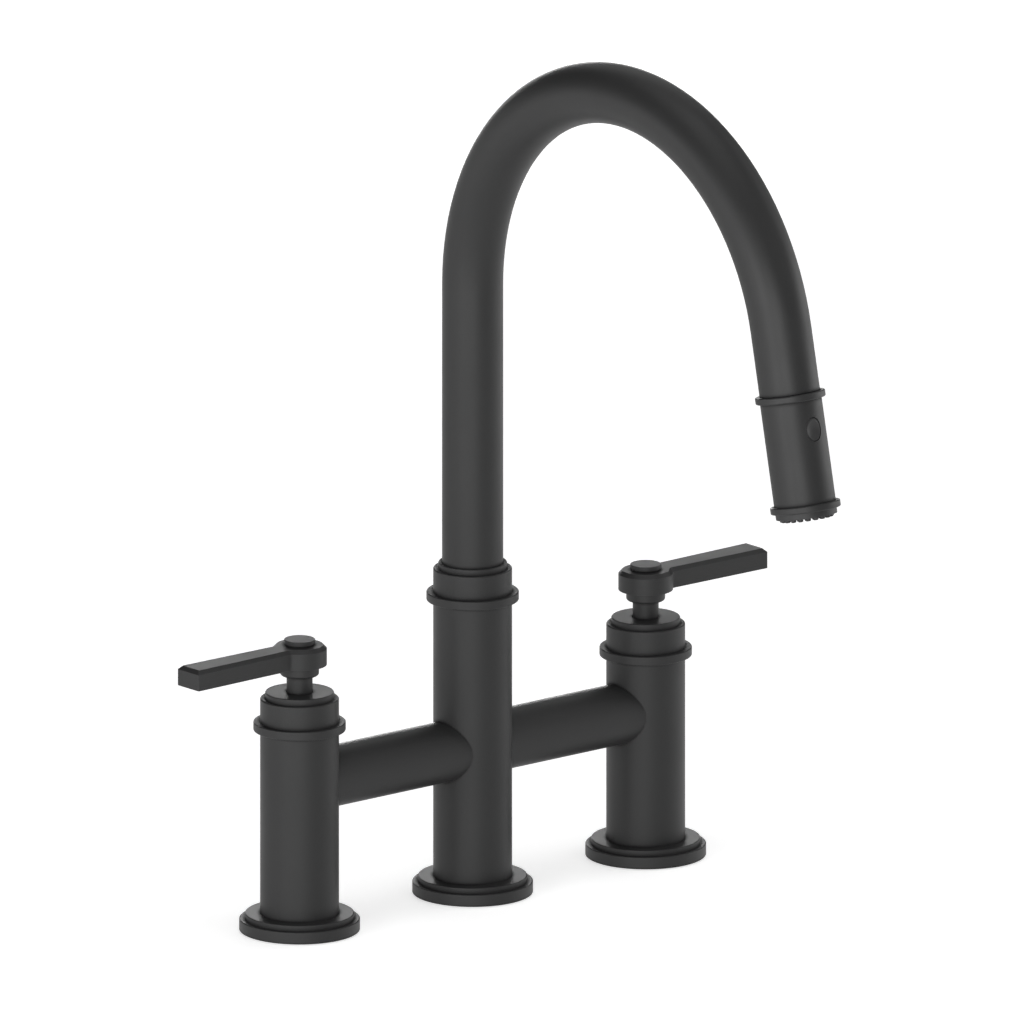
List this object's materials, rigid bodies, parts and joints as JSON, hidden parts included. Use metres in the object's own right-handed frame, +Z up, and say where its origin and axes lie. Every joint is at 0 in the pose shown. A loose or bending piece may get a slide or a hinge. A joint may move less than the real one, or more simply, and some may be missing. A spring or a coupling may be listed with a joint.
{
  "type": "bridge kitchen faucet",
  "caption": "Bridge kitchen faucet: columns on round flanges joined by bridge tubes, lever valves, and a turning gooseneck with a pull-down spray head.",
  "frame": {"origin": "centre of the middle column's foot, on the deck", "axes": "+Z up, +X along the bridge towards the right (cold) handle, -Y forwards under the spout"},
  "size_m": [0.3342, 0.2759, 0.4059],
  "materials": {
    "black_finish": "satin black coating on brass",
    "brass": "machined",
    "steel": "plain stainless",
    "magnet": "nickel-plated magnet",
    "ceramic": "lapped alumina",
    "rubber": "black seal rubber",
    "nozzle_rubber": "soft matte rubber nozzles",
    "acetal": "natural moulded plastic",
    "black_plastic": "moulded satin black",
    "braid": "black braided sleeve over a water hose"
  },
  "bodies": {
    "bridge_body": {"base_flange_left": "black_finish", "base_flange_centre": "black_finish", "base_flange_right": "black_finish", "deck_gaskets": "rubber", "column_left": "black_finish", "column_centre": "black_finish", "column_right": "black_finish", "bridge_tube_left": "black_finish", "bridge_tube_right": "black_finish", "collar_ring_left": "black_finish", "collar_ring_centre": "black_finish", "collar_ring_right": "black_finish", "bonnet_left": "black_finish", "bonnet_right": "black_finish", "dust_collar_left": "black_finish", "dust_collar_right": "black_finish", "cartridge_housing_left": "brass", "cartridge_housing_right": "brass", "seat_seals": "rubber", "fixed_disc_left": "ceramic", "fixed_disc_right": "ceramic", "mixing_core": "brass", "core_o_rings": "rubber", "spout_nut": "black_finish", "bushing_upper": "acetal", "bushing_lower": "acetal", "friction_ring": "rubber"},
    "hot_handle": {"spindle_left": "brass", "moving_disc_left": "ceramic", "stem_o_ring_left": "rubber", "handle_adapter_left": "black_finish", "lever_handle_left": "black_finish", "handle_screw_left": "steel", "handle_button_left": "black_finish"},
    "cold_handle": {"spindle_right": "brass", "moving_disc_right": "ceramic", "stem_o_ring_right": "rubber", "handle_adapter_right": "black_finish", "lever_handle_right": "black_finish", "handle_screw_right": "steel", "handle_button_right": "black_finish"},
    "spout": {"spout_tube": "black_finish", "spout_collar": "black_finish", "spout_clip": "steel", "dock_socket": "acetal", "dock_magnet": "magnet", "spray_hose": "braid"},
    "spray_head": {"head_top_ring": "black_finish", "head_shell": "black_finish", "head_core": "acetal", "head_magnet": "magnet", "hose_nut": "brass", "check_valve": "acetal", "head_lower_ring": "black_finish", "spray_face": "black_plastic", "spray_nozzles": "nozzle_rubber", "aerator_insert": "black_plastic", "button_spring": "steel"},
    "spray_button": {"spray_button": "black_plastic", "diverter_spool": "acetal"}
  },
  "joints": [
    {"name": "hot_valve", "type": "hinge", "parent": "bridge_body", "child": "hot_handle", "pos_m": [-0.1016, 0, 0.12], "axis": [0, 0, 1], "range_deg": [0, 90]},
    {"name": "cold_valve", "type": "hinge", "parent": "bridge_body", "child": "cold_handle", "pos_m": [0.1016, 0, 0.12], "axis": [0, 0, 1], "range_deg": [-90, 0]},
    {"name": "spout_swivel", "type": "hinge", "parent": "bridge_body", "child": "spout", "pos_m": [0, 0, 0.15], "axis": [0, 0, 1], "continuous": true},
    {"name": "spray_pull", "type": "slide", "parent": "spout", "child": "spray_head", "axis": [0, -0.2113, -0.9774], "range_m": [0, 0.2], "deforming": ["spray_hose"]},
    {"name": "button_press", "type": "slide", "parent": "spray_head", "child": "spray_button", "axis": [0, 0.9774, -0.2113], "range_m": [0, 0.0012], "stiffness_N_per_m": 2000, "springref_m": -0.0005, "deforming": ["button_spring"]}
  ]
}
